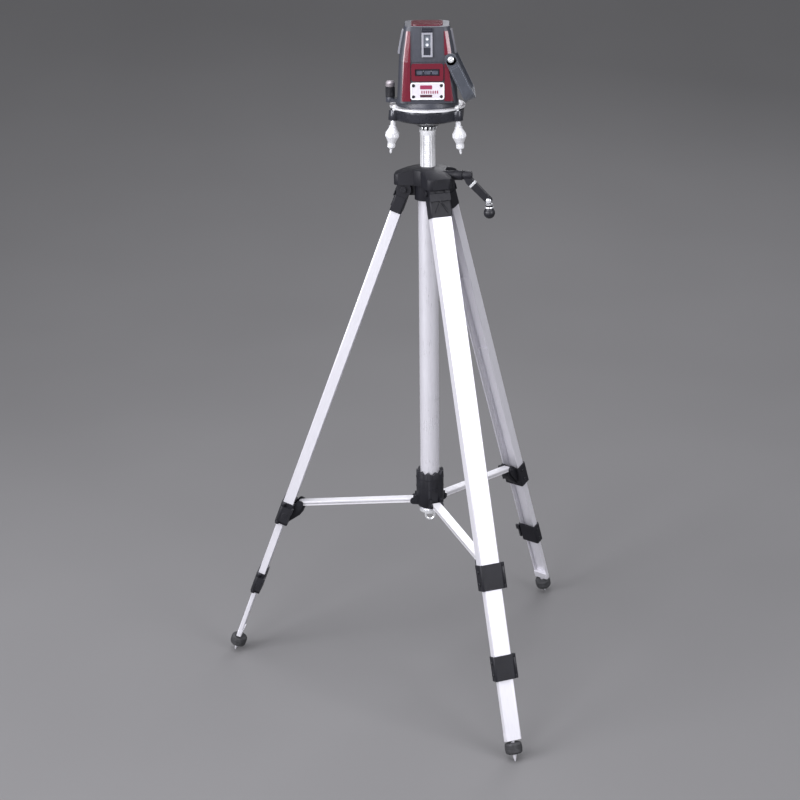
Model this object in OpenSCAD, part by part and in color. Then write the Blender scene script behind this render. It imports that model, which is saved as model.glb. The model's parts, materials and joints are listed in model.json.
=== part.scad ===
// Laser level on a folding tripod.
// Millimetres, +Z up. The origin is on the floor, straight below the centre column's axis.
// The laser's front faces -Y. Each leg runs along its own local -Z, with local +X outward.

/* [Tripod legs] */
// Direction of the front leg about Z, in degrees
front_az = -68; // [-80:1:-60]
// Lean of each leg away from vertical, in degrees
splay = 20.4; // [15:0.1:24]
// Distance of each leg pivot from the column axis
pivot_r = 38; // [36:0.5:42]
// Length from a leg pivot to the tip of its spike
leg_len = 928; // [900:1:960]
// Width of the upper channel across its outer face
upper_w = 34; // [32:0.5:36]
// Depth of the upper channel
upper_d = 18; // [17:0.5:20]
// Wall of every channel
wall = 1.2; // [1:0.1:1.5]
// Distance from the pivot to the middle of the upper clamp
upper_clamp_s = 625.5; // [600:0.5:640]
// Distance from the pivot to the middle of the lower clamp
lower_clamp_s = 774; // [740:1:800]

/* [Spreader] */
// Radius of the strut pivots on the hub
hub_pivot_r = 28; // [27:0.5:30]
// Height of the strut pivots on the hub
hub_pivot_z = 317; // [310:1:330]
// Width of a strut
strut_w = 15; // [12:0.5:16]
// Thickness of a strut
strut_t = 7.5; // [6:0.5:8]

/* [Centre column] */
// Radius of the centre column
column_r = 12.3; // [12:0.1:12.4]
// Radius of the guide tube
guide_r = 16.35; // [16:0.05:17]
// Height of the crank shaft above the floor
crank_z = 896; // [895:0.5:897]
// Direction of the crank shaft about Z, in degrees
crank_az = -8; // [-12:1:-4]

/* [Laser] */
// Half width of the housing at its foot
body_foot = 48; // [46:0.5:49]
// Half width of the housing at the joint of its two shells
body_waist = 44.6; // [44:0.2:46]
// Half width of the housing under the top cap
body_top = 35; // [34:0.2:37]
// Radius of the graduated ring
dial_r = 60.5; // [59:0.5:62]
// Distance of the levelling screws from the axis
screw_ring_r = 59; // [58:0.5:60]
// Lean of the levelling screws, in degrees
screw_lean = 6; // [4:0.5:8]

/* [Hidden] */
$fn = 48;

slide_gap = 0.3;
tip_r = 1.5;
pivot_z = (leg_len - tip_r) * cos(splay) + tip_r;
leg_az = [front_az, front_az + 120, front_az + 240];
bolt_r = 3;
lug_w = 16.4;
ear_r = 12.5;
fitting_w = upper_w + 2.5;
fitting_d = upper_d + 2;
fitting_end_s = 40.7;

outer_x = upper_d / 2;
middle_x = outer_x - wall - slide_gap;
middle_w = 31;
middle_d = 12;
lower_x = middle_x - wall - slide_gap;
lower_w = 28;
lower_d = 7;
upper_top_s = 24;
upper_end_s = 643.5;
middle_top_s = 195;
middle_end_s = 791;
lower_top_s = 344;
lower_end_s = 893;
plug_s = 880;
foot_top_s = 897;
foot_len = 18;
foot_r = 14;
spike_r = 3;

collar_wall = 2.5;
upper_collar_h = 42;
lower_collar_h = 40;
strut_slot_end_s = 632;
lug_s = 602;
lug_n = -19;
ear_gap = strut_w + 0.8;
lever_gap = 0.5;

// The struts reach from the hub pivots to the leg lugs.
lug_r = pivot_r + lug_s * sin(splay) + lug_n * cos(splay);
lug_z = pivot_z - lug_s * cos(splay) + lug_n * sin(splay);
strut_len = sqrt(pow(lug_r - hub_pivot_r, 2) + pow(hub_pivot_z - lug_z, 2));
strut_drop = atan((hub_pivot_z - lug_z) / (lug_r - hub_pivot_r));
pin_r = 2;
hub_r = 23.5;
hub_low_z = 308;
hub_top_z = 374;

dome_r = 54;
dome_low_z = 886;
dome_rim_z = 894.5;
lobe_w = 42.6;
skirt_low = 878;
skirt_wall = 2.8;
dome_top_z = 907;
body_r = 22;
shoulder_low_z = 852;
tube_seat_z = 872;
guide_low_z = 304;
guide_in_r = 14.85;

column_top_z = 966;
column_low_z = 520;
column_bore_r = 7.5;
rack_face = 11.6;
rack_w = 7.6;
rack_low_z = 640;
rack_top_z = 957;
gear_module = 1;
gear_teeth = 12;
pressure_angle = 25;
gear_r = gear_module * gear_teeth / 2;
base_circle_r = gear_r * cos(pressure_angle);
rack_addendum = 0.85;
rack_dedendum = 1.25;
backlash = 0.2;
crank_off = rack_face - rack_addendum + gear_r;
shaft_r = 3;
arm_start = [70, -9];
arm_end = [101.5, -40.5];
grip_lean = 2;

base_low_z = 972.2;
base_top_z = 1004.2;
dial_top_z = 1007.2;
skirt_low_z = 1007.5;
skirt_top_z = 1016.7;
shell_low_z = 1017;
waist_z = 1081;
shell_top_z = 1134.5;
cap_top_z = 1136;
corner_r = 14;
shell_wall = 2.5;
screw_az = [204, -36, 84];
screw_mid_z = 991.5;
thread_r = 3.2;
stud_r = 7.9;
gimbal_z = 1083.6;
plate_z = 1036.3;
key_z = 1065.4;
window_w = 17;
window_h = 37.5;
window_y = 40.9;
window_z = 1107;
window_lean = 11;
knob_x = -59.5;
arm_low_z = 1011.2;
knob_low_z = 1019.6;
lower_lean = atan((body_foot - body_waist) / (waist_z - shell_low_z));
door_y = 46.3;
door_z = 1024;
strap_x = 36.8;
strap_z = 1085.6;
strap_w = 19;
strap_t = 2.6;
strap_run = 70;
strap_lean = 25.6;
strap_y = 47.9;

black_plastic = "#1c1c20";
satin_alloy = "#c9cbd2";
bright_metal = "#e4e5ea";
dark_housing = "#45474d";
gloss_red = "#a3132a";

// ---- Shared shapes ----

// Rectangle with round corners, made of squares and circles so that its arcs stay true
module round_rect(w, h, r) {
  square([w - 2 * r, h], center = true);
  square([w, h - 2 * r], center = true);
  for (x = [-1, 1], y = [-1, 1]) translate([x * (w / 2 - r), y * (h / 2 - r)]) circle(r);
}

// Places its children in one leg's frame: pivot at the origin, leg along -Z, outward face on +X
module on_leg(i) {
  rotate([0, 0, leg_az[i]]) translate([pivot_r, 0, pivot_z]) rotate([0, -splay, 0]) children();
}

// Extrudes a leg section from one distance to another below the pivot
module along_leg(from_s, to_s) {
  translate([0, 0, -to_s]) linear_extrude(to_s - from_s) children();
}

// Outline of a leg section with its outer face at x = face, round on its outer corners
module full_section(face, depth, width, corner) {
  translate([face - depth, -width / 2]) square([depth - corner, width]);
  translate([face - corner - 0.01, corner - width / 2]) square([corner + 0.01, width - 2 * corner]);
  for (y = [-1, 1]) translate([face - corner, y * (width / 2 - corner)]) circle(corner);
}

// Channel section, open on its inward side
module channel(face, depth, width, corner = 2) {
  difference() {
    full_section(face, depth, width, corner);
    translate([face - depth - 1, wall - width / 2]) square([depth + 1 - wall, width - 2 * wall]);
  }
}

// ---- Legs ----

module leg_top(i) {
  color(black_plastic) on_leg(i) difference() {
    union() {
      along_leg(13, fitting_end_s) round_rect(fitting_d, fitting_w, 2.5);
      for (y = [-1, 1]) {
        translate([0, y * (lug_w / 2 + 0.3 + 4.4), 0]) rotate([90, 0, 0])
          cylinder(h = 8.8, r = ear_r, center = true);
        translate([0, y * (lug_w / 2 + 0.3 + 4.4), -9]) cube([fitting_d - 1, 8.8, 12], center = true);
        // Inverted V rib on the outer face
        translate([fitting_d / 2, 0, -15]) rotate([y * 30, 0, 0]) translate([-0.5, -1.2, -22])
          cube([2, 2.4, 22]);
      }
    }
    along_leg(fitting_end_s, fitting_end_s + 30) square(60, center = true);
    along_leg(upper_top_s, fitting_end_s + 1) channel_seat();
    rotate([90, 0, 0]) cylinder(h = 60, r = bolt_r + 0.05, center = true);
  }
}

// Seat for the upper channel: its outer outline, with a tongue left inside the channel
module channel_seat() {
  difference() {
    full_section(outer_x, upper_d, upper_w, 2);
    translate([-outer_x - 1, wall + 0.1 - upper_w / 2])
      square([upper_d + 1 - wall - 0.1, upper_w - 2 * wall - 0.2]);
  }
}

module upper_tube(i) {
  color(satin_alloy) on_leg(i) along_leg(upper_top_s, upper_end_s) channel(outer_x, upper_d, upper_w);
}

module middle_tube(i) {
  color(satin_alloy) on_leg(i)
    along_leg(middle_top_s, middle_end_s) channel(middle_x, middle_d, middle_w, 1.6);
}

// Lower channel with its end plug, stud and ground spike
module lower_tube(i) {
  color(satin_alloy) on_leg(i) {
    along_leg(lower_top_s, plug_s) channel(lower_x, lower_d, lower_w, 1.4);
    along_leg(plug_s, lower_end_s) translate([lower_x - 4.5, 0]) round_rect(9, lower_w + 0.5, 2);
    translate([0, 0, -leg_len]) rotate_extrude() polygon([
      [0, 0.2], [0.9, 0], [spike_r, 9], [spike_r, leg_len - lower_end_s + 0.01],
      [0, leg_len - lower_end_s + 0.01]]);
  }
}

// Rubber foot on the stud: a dome with a wide shoulder and a rounded lower edge
module foot(i) {
  color("#202024") on_leg(i) translate([0, 0, -foot_top_s - foot_len]) rotate_extrude() difference() {
    union() {
      translate([0, 4]) square([foot_r, foot_len - 7]);
      square([foot_r - 4, foot_len]);
      translate([foot_r - 4, 4]) circle(4);
      translate([foot_r - 4, foot_len - 4]) circle(4);
    }
    translate([-20, -1]) square([20 + spike_r + 0.08, foot_len + 2]);
  }
}

// Collar around a channel, with knuckles for its lever on the +Y side
module collar(half_d, half_w, from_s, to_s) {
  along_leg(from_s, to_s) round_rect(2 * half_d, 2 * half_w, 3);
  for (s = [from_s + 3, to_s - 3]) translate([half_d - 5, half_w + 1.5, -s])
    cylinder(h = 6, r = 3.6, center = true);
}

module upper_clamp(i) {
  from_s = upper_clamp_s - upper_collar_h / 2;
  to_s = upper_clamp_s + upper_collar_h / 2;
  color(black_plastic) on_leg(i) difference() {
    union() {
      collar(outer_x + collar_wall, upper_w / 2 + collar_wall, from_s, to_s);
      // Ears that hold the strut end
      for (y = [-1, 1]) {
        translate([lug_n, y * (ear_gap / 2 + 2), -lug_s]) rotate([90, 0, 0])
          cylinder(h = 4, r = 6.5, center = true);
        translate([0, y * (ear_gap / 2 + 2), -lug_s]) rotate([90, 0, 0]) linear_extrude(4, center = true)
          polygon([[1 - outer_x - collar_wall, -2], [lug_n, 6.4], [lug_n - 6.4, 0], [lug_n - 5, -10],
            [1 - outer_x - collar_wall, -38]]);
        // Rivet heads outside the ears
        translate([lug_n, y * (ear_gap / 2 + 4), -lug_s]) rotate([-90 * y, 0, 0])
          cylinder(h = 1.4, r = 3.2);
      }
    }
    along_leg(from_s - 1, upper_end_s) full_section(outer_x, upper_d, upper_w, 2);
    along_leg(upper_end_s - 1, to_s + 1) translate([middle_x - middle_d / 2, 0])
      square([middle_d + 2 * slide_gap, middle_w + 2 * slide_gap], center = true);
    // Way in for the strut end
    translate([-outer_x - 10, -ear_gap / 2, -strut_slot_end_s])
      cube([16, ear_gap, strut_slot_end_s - from_s + 20]);
    lever_space(outer_x + collar_wall, upper_w / 2 + collar_wall, from_s, to_s);
  }
}

// Room for a lever's barrel between the knuckles, and the pin's hole through them
module lever_space(half_d, half_w, from_s, to_s) {
  translate([half_d - 5, half_w + 1.5, -(from_s + to_s) / 2]) {
    cylinder(h = to_s - from_s - 12, r = 4.1, center = true);
    cylinder(h = to_s - from_s + 2, r = 1.55, center = true);
  }
}

module lower_clamp(i) {
  from_s = lower_clamp_s - lower_collar_h / 2;
  to_s = lower_clamp_s + lower_collar_h / 2;
  mid = middle_x - middle_d / 2;
  color(black_plastic) on_leg(i) difference() {
    translate([mid, 0, 0]) collar(middle_d / 2 + collar_wall, middle_w / 2 + collar_wall, from_s, to_s);
    along_leg(from_s - 1, middle_end_s) full_section(middle_x, middle_d, middle_w, 1.6);
    along_leg(middle_end_s - 1, to_s + 1) translate([lower_x - lower_d / 2 - 1, 0])
      square([lower_d + 2 + 2 * slide_gap, lower_w + 2 * slide_gap], center = true);
    translate([mid, 0, 0])
      lever_space(middle_d / 2 + collar_wall, middle_w / 2 + collar_wall, from_s, to_s);
  }
}

// Flip lever: barrel and pin on the knuckle axis, plate along the collar's side, finger tab
module lever(half_d, half_w, from_s, to_s, tab) {
  h = to_s - from_s - 13;
  x0 = half_d - 5;
  y0 = half_w + 1.5;
  translate([x0, y0, -(from_s + to_s) / 2]) {
    cylinder(h = h, r = 3.6, center = true);
    cylinder(h = to_s - from_s, r = 1.5, center = true);
    translate([-x0 - half_d, lever_gap - 1.5, -h / 2]) cube([x0 + half_d, 4.6 - lever_gap, h]);
    translate([-x0 - half_d - 1.5, lever_gap - 1.5, h / 2 - tab]) cube([3.5, 6.5, tab + 2]);
  }
}

module upper_lever(i) {
  color(black_plastic) on_leg(i) lever(outer_x + collar_wall, upper_w / 2 + collar_wall,
    upper_clamp_s - upper_collar_h / 2, upper_clamp_s + upper_collar_h / 2, 9);
}

module lower_lever(i) {
  color(black_plastic) on_leg(i) translate([middle_x - middle_d / 2, 0, 0])
    lever(middle_d / 2 + collar_wall, middle_w / 2 + collar_wall,
      lower_clamp_s - lower_collar_h / 2, lower_clamp_s + lower_collar_h / 2, 8);
}

// Strut: a shallow channel bar, hub eye at its inner end and lug eye at its outer end
module strut(i) {
  color(bright_metal) rotate([0, 0, leg_az[i]]) translate([hub_pivot_r, 0, hub_pivot_z])
    rotate([0, strut_drop, 0]) difference() {
      union() {
        translate([0, -strut_w / 2, -strut_t / 2]) cube([strut_len, strut_w, strut_t]);
        for (x = [0, strut_len]) translate([x, 0, 0]) rotate([90, 0, 0])
          cylinder(h = strut_w, r = strut_t / 2, center = true);
      }
      translate([12, -strut_w / 2 + 1.6, -strut_t]) cube([strut_len - 24, strut_w - 3.2, strut_t * 1.5 - 1.6]);
      for (x = [0, strut_len]) translate([x, 0, 0]) rotate([90, 0, 0])
        cylinder(h = 30, r = pin_r + 0.06, center = true);
    }
}

// ---- Shoulder, hub and guide tube ----

// Three broad lobes, one above each leg
module lobes_2d() {
  circle(30);
  for (a = leg_az) rotate(a) translate([dome_r / 2, 0]) round_rect(dome_r, lobe_w, 8);
}

// Pockets under the lobes, each open to the middle
module pockets_2d() {
  for (a = leg_az) rotate(a) translate([dome_r / 2 - skirt_wall, 0])
    round_rect(dome_r, lobe_w - 2 * skirt_wall, 8 - skirt_wall);
}

// Dome profile: flat rim, then an arc up to the column hole
module dome_2d() {
  rise = dome_top_z - dome_rim_z;
  arc_r = (dome_r * dome_r + rise * rise) / (2 * rise);
  intersection() {
    translate([0, dome_top_z - arc_r]) circle(arc_r, $fn = 200);
    translate([0, dome_low_z]) square([dome_r + 8, dome_top_z - dome_low_z + 1]);
  }
}

module shoulder() {
  color(black_plastic) difference() {
    union() {
      intersection() {
        translate([0, 0, dome_low_z]) linear_extrude(30) lobes_2d();
        rotate_extrude($fn = 96) dome_2d();
      }
      // Skirt that hangs from the rim and hides the leg pivots
      translate([0, 0, skirt_low]) linear_extrude(dome_low_z - skirt_low + 1) difference() {
        lobes_2d();
        pockets_2d();
      }
      translate([0, 0, shoulder_low_z]) cylinder(h = dome_low_z - shoulder_low_z + 4, r = body_r);
      for (a = leg_az) rotate([0, 0, a]) {
        translate([pivot_r, 0, pivot_z]) rotate([90, 0, 0])
          cylinder(h = lug_w, r = ear_r - 1.5, center = true);
        translate([10, -lug_w / 2, pivot_z - 11]) cube([pivot_r - 10, lug_w, 22]);
        translate([20, -lug_w / 2, pivot_z]) cube([25, lug_w, dome_low_z - pivot_z + 1]);
      }
      on_crank() rotate([0, 90, 0]) cylinder(h = 58 - 12, r = 7);
      on_crank() translate([46, 0, 0]) rotate([0, 90, 0]) cylinder(h = 12, r = 8.2);
    }
    for (a = leg_az) rotate([0, 0, a]) translate([pivot_r, 0, pivot_z]) rotate([90, 0, 0])
      cylinder(h = 60, r = bolt_r, center = true);
    translate([0, 0, shoulder_low_z - 1]) cylinder(h = tube_seat_z - shoulder_low_z + 1, r = guide_r);
    cylinder(h = 1000, r = column_r + slide_gap);
    on_crank() rotate([0, 90, 0]) {
      translate([0, 0, -13]) cylinder(h = 90, r = shaft_r + 0.05);
      translate([0, 0, -4.6]) cylinder(h = 9.2, r = gear_r + gear_module + 0.5);
    }
  }
}

module pivot_bolts() {
  color(bright_metal) for (a = leg_az) rotate([0, 0, a]) translate([pivot_r, 0, pivot_z])
    rotate([90, 0, 0]) {
      cylinder(h = 37, r = bolt_r, center = true);
      for (y = [-1, 1]) translate([0, 0, y * 18.9]) cylinder(h = 3, r = 5.2, center = true);
    }
}

module guide_tube() {
  color(satin_alloy) difference() {
    translate([0, 0, guide_low_z]) cylinder(h = tube_seat_z - guide_low_z, r = guide_r);
    translate([0, 0, guide_low_z - 1]) cylinder(h = tube_seat_z - guide_low_z + 2, r = guide_in_r);
  }
}

// End cap of the guide tube, with the ring that a weight hangs from
module end_hook() {
  color(bright_metal) {
    translate([0, 0, guide_low_z - 5]) cylinder(h = 5, r = 18.4);
    translate([0, 0, guide_low_z - 0.01]) cylinder(h = 12, r = guide_in_r);
    translate([0, 0, guide_low_z - 11]) cylinder(h = 6.01, r = 8);
    translate([0, 0, guide_low_z - 16]) rotate([90, 0, 0]) rotate_extrude() translate([7.5, 0]) circle(1.9);
  }
}

module spreader_hub() {
  notches = 9;
  color(black_plastic) {
    difference() {
      union() {
        translate([0, 0, hub_low_z]) rotate_extrude() polygon([
          [0, 0], [20, 0], [hub_r, 6], [hub_r, hub_top_z - hub_low_z], [0, hub_top_z - hub_low_z]]);
        for (a = leg_az) rotate([0, 0, a]) for (y = [-1, 1]) {
          translate([hub_pivot_r, y * (strut_w / 2 + 0.4 + 1.75), hub_pivot_z]) rotate([90, 0, 0])
            cylinder(h = 3.5, r = 5.5, center = true);
          translate([15, y * (strut_w / 2 + 0.4 + 1.75) - 1.75, hub_pivot_z - 5.5])
            cube([hub_pivot_r - 15, 3.5, 16]);
        }
      }
      translate([0, 0, hub_low_z - 1]) cylinder(h = 100, r = guide_r + slide_gap);
      // V notches around the crown
      for (k = [0:notches - 1]) rotate([0, 0, k * 360 / notches]) translate([guide_r - 2, 0, hub_top_z + 1])
        rotate([90, 0, 90]) linear_extrude(20) rotate(45) square(9, center = true);
      // Flats behind the strut eyes
      for (a = leg_az) rotate([0, 0, a]) translate([22.8, -strut_w / 2 - 0.4, hub_low_z - 1])
        cube([20, strut_w + 0.8, 32]);
    }
    for (a = leg_az) rotate([0, 0, a]) translate([hub_pivot_r, 0, hub_pivot_z]) rotate([90, 0, 0])
      cylinder(h = strut_w + 11, r = pin_r, center = true);
  }
}

// ---- Centre column and crank ----

module on_crank() {
  rotate([0, 0, crank_az]) translate([0, -crank_off, crank_z]) children();
}

// Gaps between the rack teeth. Drawn as Z against distance towards the pinion
module rack_gaps_2d() {
  pitch = PI * gear_module;
  mid = rack_face - rack_addendum;
  half = pitch / 4 + backlash / 4;
  slope = tan(pressure_angle);
  past = 0.3;
  for (k = [ceil((rack_low_z - crank_z) / pitch) : floor((rack_top_z - crank_z) / pitch)])
    translate([0, crank_z + k * pitch]) polygon([
      [mid - rack_dedendum, slope * rack_dedendum - half], [rack_face + past, -half - slope * (rack_addendum + past)],
      [rack_face + past, half + slope * (rack_addendum + past)], [mid - rack_dedendum, half - slope * rack_dedendum]]);
}

module centre_column() {
  ribs = 14;
  color(bright_metal) difference() {
    union() {
      translate([0, 0, column_low_z]) cylinder(h = column_top_z - column_low_z, r = column_r);
      translate([0, 0, column_low_z]) cylinder(h = 12, r = guide_in_r - slide_gap);
      translate([0, 0, column_top_z - 4]) cylinder(h = 4, r = 13.4);
    }
    translate([0, 0, column_low_z - 1]) cylinder(h = column_top_z, r = column_bore_r);
    // Flat for the rack, then the gaps between its teeth
    rotate([0, 0, crank_az]) translate([-10, -20, rack_low_z - 3])
      cube([20, 20 - rack_face, rack_top_z - rack_low_z + 6]);
    rotate([0, 0, crank_az - 90]) rotate([90, 0, 0]) linear_extrude(rack_w, center = true) rack_gaps_2d();
    // Shallow flutes
    for (k = [1:ribs - 1]) rotate([0, 0, crank_az - 90 + k * 360 / ribs])
      translate([column_r + 0.6, 0, column_low_z + 14])
        cylinder(h = column_top_z - column_low_z - 19, r = 1.1, $fn = 16);
  }
}

// Castellated ring with the threaded stud that holds the instrument
module lock_ring() {
  notches = 12;
  color(bright_metal) {
    translate([0, 0, column_top_z + 0.3]) linear_extrude(5.6) difference() {
      circle(13.6);
      for (k = [0:notches - 1]) rotate(k * 360 / notches) translate([13.6, 0])
        square([9, 3.4], center = true);
    }
    translate([0, 0, column_top_z - 14]) cylinder(h = 16, r = column_bore_r - 0.1);
    translate([0, 0, column_top_z + 1]) cylinder(h = 18, r = stud_r);
  }
}

function involute_angle(r) = let (t = sqrt(max(0, r * r / (base_circle_r * base_circle_r) - 1)))
  t * 180 / PI - atan(t);
function flank_angle(r) = 90 / gear_teeth - backlash / 4 / gear_r * 180 / PI
  + involute_angle(gear_r) - involute_angle(r);

// Pinion with involute flanks and radial roots
module pinion_2d() {
  root = gear_r - rack_dedendum;
  tip = gear_r + gear_module * 0.95;
  steps = 5;
  radii = concat([root], [for (k = [0:steps]) base_circle_r + (tip - base_circle_r) * k / steps]);
  circle(root + 0.02);
  for (k = [0:gear_teeth - 1]) rotate(k * 360 / gear_teeth) polygon(concat(
    [[0, 0]],
    [for (r = radii) r * [cos(flank_angle(r)), -sin(flank_angle(r))]],
    [for (j = [len(radii) - 1:-1:0]) radii[j] * [cos(flank_angle(radii[j])), sin(flank_angle(radii[j]))]]));
}

module crank_shaft() {
  color(bright_metal) on_crank() rotate([0, 90, 0]) {
    translate([0, 0, -12]) cylinder(h = 82, r = shaft_r);
    // A tooth points at the rack's gap
    linear_extrude(rack_w - 0.8, center = true) rotate(90) pinion_2d();
  }
}

module crank_arm() {
  color(black_plastic) on_crank() difference() {
    union() {
      translate([58.5, 0, 0]) rotate([0, 90, 0]) cylinder(h = 14.5, r = 7);
      hull() {
        for (p = [[66.6, -2], arm_start]) translate([p[0], 0, p[1]]) rotate([90, 0, 0])
          cylinder(h = 11, r = 6, center = true, $fn = 32);
      }
      hull() {
        translate([arm_start[0], 0, arm_start[1]]) rotate([90, 0, 0])
          cylinder(h = 11, r = 6, center = true, $fn = 32);
        translate([arm_end[0], 0, arm_end[1]]) rotate([90, 0, 0])
          cylinder(h = 11, r = 5.2, center = true, $fn = 32);
      }
    }
    rotate([0, 90, 0]) cylinder(h = 70, r = shaft_r);
    // Fork at the arm's end
    translate([arm_end[0], 0, arm_end[1]]) {
      rotate([90, 0, 0]) cylinder(h = 5.2, r = 7, center = true);
      rotate([90, 0, 0]) cylinder(h = 20, r = 1.55, center = true);
    }
  }
}

// Places its children on the grip's axis, running down and slightly outward from the arm's end
module on_grip() {
  on_crank() translate([arm_end[0], 0, arm_end[1]]) rotate([0, -grip_lean, 0]) children();
}

module grip_spindle() {
  color(bright_metal) on_grip() {
    rotate([90, 0, 0]) cylinder(h = 4.6, r = 4, center = true);
    rotate([90, 0, 0]) cylinder(h = 11.6, r = 1.5, center = true);
    translate([0, 0, -26]) cylinder(h = 24, r = 2);
    translate([0, 0, -7.5]) cylinder(h = 2, r = 5);
  }
}

module crank_grip() {
  color(black_plastic) on_grip() difference() {
    translate([0, 0, -30]) rotate_extrude() intersection() {
      union() {
        translate([0, 9.3]) circle(9.3);
        translate([0, 9]) polygon([[0, 0], [9, 0], [6.2, 10], [6.2, 13], [0, 13]]);
      }
      square([20, 40]);
    }
    translate([0, 0, -27]) cylinder(h = 30, r = 2.05);
  }
}

// ---- Laser base ----

module on_screw(a) {
  rotate([0, 0, a]) translate([screw_ring_r, 0, screw_mid_z]) rotate([0, -screw_lean, 0]) children();
}

module base_frame() {
  scallops = 12;
  color(black_plastic) difference() {
    union() {
      translate([0, 0, base_low_z]) rotate_extrude($fn = 96) polygon([
        [0, 0], [17, 0], [20, 3], [54, 12.5], [58, 15], [59, base_top_z - base_low_z],
        [0, base_top_z - base_low_z]]);
      for (a = screw_az) on_screw(a) translate([0, 0, -5]) cylinder(h = 15.8, r = 8.4);
    }
    for (a = screw_az) on_screw(a) {
      translate([0, 0, -20]) cylinder(h = 60, r = thread_r + 0.05);
      translate([0, 0, 11]) cylinder(h = 20, r = 5);
    }
    for (k = [0:scallops - 1]) rotate([0, 0, (k + 0.5) * 360 / scallops])
      translate([0, 0, base_top_z + 5]) rotate([0, 90, 0]) translate([0, 0, 55]) cylinder(h = 10, r = 7);
    translate([0, 0, base_low_z - 1]) cylinder(h = 16, r = stud_r + 0.06);
    translate([0, 0, base_low_z + 16]) cylinder(h = 30, r = 9);
    // Hollow under the graduated ring, between the boss and the rim
    translate([0, 0, base_low_z + 16]) difference() {
      cylinder(h = 30, r = 47);
      translate([0, 0, -1]) cylinder(h = 32, r = 24);
    }
  }
}

module dial_ring() {
  color(bright_metal) difference() {
    translate([0, 0, base_top_z]) linear_extrude(dial_top_z - base_top_z) difference() {
      circle(dial_r, $fn = 96);
      circle(20);
    }
    for (a = screw_az) on_screw(a) translate([0, 0, 5]) cylinder(h = 40, r = 5);
  }
}

module level_screw(a) {
  color(bright_metal) on_screw(a) {
    translate([0, 0, -8]) cylinder(h = 23, r = thread_r);
    translate([0, 0, 15.2]) sphere(3.9);
    rotate_extrude() polygon([
      [0, -7], [4.4, -7], [4.4, -13], [7.5, -20], [10.5, -25], [10.5, -32], [6.2, -41], [5.4, -49.5],
      [2.2, -51.5], [1.8, -57], [1, -58.6], [0, -58.6]]);
  }
}

module turntable() {
  color(dark_housing) difference() {
    union() {
      translate([0, 0, skirt_low_z]) rotate_extrude($fn = 96) polygon([
        [0, 0], [50.5, 0], [50.5, 2], [49, skirt_top_z - skirt_low_z], [0, skirt_top_z - skirt_low_z]]);
      translate([0, 0, base_low_z + 17]) cylinder(h = skirt_low_z - base_low_z - 16, r = 8.95);
      // Arm under the fine-adjust knob
      translate([knob_x, -7, arm_low_z]) cube([20, 14, skirt_top_z - arm_low_z]);
      translate([knob_x, 0, arm_low_z]) cylinder(h = knob_low_z - 0.3 - arm_low_z, r = 7);
    }
    translate([knob_x, 0, arm_low_z - 1]) cylinder(h = 12, r = 2.05);
  }
}

module fine_knob() {
  color("#2a2b2f") {
    translate([knob_x, 0, arm_low_z]) cylinder(h = 10, r = 2);
    translate([knob_x, 0, knob_low_z]) linear_extrude(15) difference() {
      circle(7.6);
      for (k = [0:17]) rotate(k * 20) translate([8, 0]) circle(0.75, $fn = 16);
    }
    translate([knob_x, 0, knob_low_z + 15]) rotate_extrude() polygon([
      [0, 0], [5.6, 0], [7, 2], [7, 7], [5.5, 9.6], [0, 9.6]]);
  }
}

// ---- Laser housing ----

// Thin slice of the housing's outline, centred on a height
module body_slice(z, half, r) {
  translate([0, 0, z - 0.01]) linear_extrude(0.02) round_rect(2 * half, 2 * half, r, $fn = 32);
}

// Solid form of the lower shell, grown sideways, and past its ends by reach
module lower_form(grow, reach = 0) {
  hull() {
    body_slice(shell_low_z - reach, body_foot + grow, corner_r + grow);
    body_slice(waist_z + reach, body_waist + grow, corner_r + grow);
  }
}

module upper_form(grow, reach = 0) {
  hull() {
    body_slice(waist_z + 0.1 - reach, body_waist + grow, corner_r + grow);
    body_slice(1102, 41.9 + grow, corner_r - 0.5 + grow);
    body_slice(1122, 37.9 + grow, corner_r - 2 + grow);
    body_slice(shell_top_z + reach / 2, body_top + grow, corner_r - 3 + grow);
  }
}

module lower_housing() {
  color(dark_housing) difference() {
    lower_form(0);
    difference() {
      lower_form(-shell_wall, 1);
      // Wall between the cells and the works
      translate([-60, 21, shell_low_z - 3]) cube([120, 2, 57]);
    }
    // Doorway for the cells
    translate([-27, 40, shell_low_z + 4]) cube([54, 20, 48]);
    // Opening behind the control key
    translate([-19.4, -60, key_z - 5.4]) cube([38.8, 30, 10.8]);
  }
}

module upper_housing() {
  color(dark_housing) {
    difference() {
      upper_form(0);
      hull() {
        body_slice(waist_z - 1, body_waist - shell_wall, corner_r - shell_wall);
        body_slice(1128, 33.6, 9);
      }
      for (a = [0, 90, -90]) on_window(a) translate([-window_w / 2, -10, -window_h / 2])
        cube([window_w, 20, window_h]);
    }
    // Gimbal bearings
    for (x = [-1, 1]) difference() {
      translate([x * 33.5, 0, gimbal_z]) rotate([0, 90, 0]) cylinder(h = 18, r = 2.6, center = true);
      translate([x * 26, 0, gimbal_z]) rotate([0, 90, 0]) cylinder(h = 10, r = 1.55, center = true);
    }
    // Strap posts
    for (y = [-1, 1]) translate([strap_x, y * 41, strap_z]) rotate([-90 * y, 0, 0]) cylinder(h = 10.5, r = 2.5);
  }
}

// Outlines of the guard strips as seen from the front
module strips_2d() {
  polygon([[-26.8, 1020.5], [-41, 1020.5], [-38, 1080], [-32.5, 1128], [-26.2, 1128]]);
  polygon([[26.9, 1092], [38, 1092], [32.5, 1128], [26.2, 1128]]);
  polygon([[26.9, 1020.5], [41, 1020.5], [32.4, 1079], [26.9, 1079]]);
}

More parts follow.
